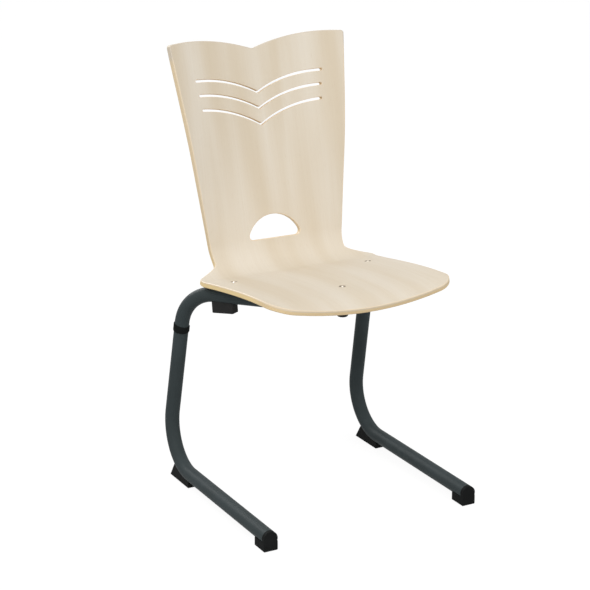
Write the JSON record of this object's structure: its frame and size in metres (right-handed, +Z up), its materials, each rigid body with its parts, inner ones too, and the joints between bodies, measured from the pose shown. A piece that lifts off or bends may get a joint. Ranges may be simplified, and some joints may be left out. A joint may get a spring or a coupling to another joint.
{
  "type": "choir chair",
  "caption": "Armless chair with a one-piece moulded plywood seat and back, slotted back and hand hole, on a bent tube frame with runners open to the rear.",
  "frame": {"origin": "on the floor, in the middle of the chair's width and of its depth, from the front of the shoes to the rear of the back", "axes": "+X to the right of someone who looks at the chair's front, +Y from the front edge of the seat towards the back, +Z up"},
  "size_m": [0.478, 0.5116, 0.892],
  "materials": {
    "moulded_plywood": "clear satin lacquer on pale beech or maple veneer, bare moulded plies at the edges",
    "tube_paint": "satin slate grey powder coat",
    "black_plastic": "fine-textured black",
    "screw_steel": "bright zinc plate",
    "insert_steel": "dull zinc plate"
  },
  "bodies": {
    "root": {"seat_shell": "moulded_plywood", "frame_tube": "tube_paint", "saddle_left": "black_plastic", "saddle_right": "black_plastic", "saddle_front": "black_plastic", "seat_screw_left": "screw_steel", "seat_screw_right": "screw_steel", "seat_screw_front": "screw_steel", "insert_nut_left": "insert_steel", "insert_nut_right": "insert_steel", "insert_nut_front": "insert_steel", "bumper_left": "black_plastic", "bumper_right": "black_plastic", "bumper_front": "black_plastic", "bumper_screw_left": "insert_steel", "bumper_screw_right": "insert_steel", "bumper_screw_front": "insert_steel", "leg_sleeve_left": "black_plastic", "leg_sleeve_right": "black_plastic", "front_shoe_left": "black_plastic", "front_shoe_right": "black_plastic", "rear_glide_left": "black_plastic", "rear_glide_right": "black_plastic", "glide_screw_left": "insert_steel", "glide_screw_right": "insert_steel"}
  },
  "joints": []
}
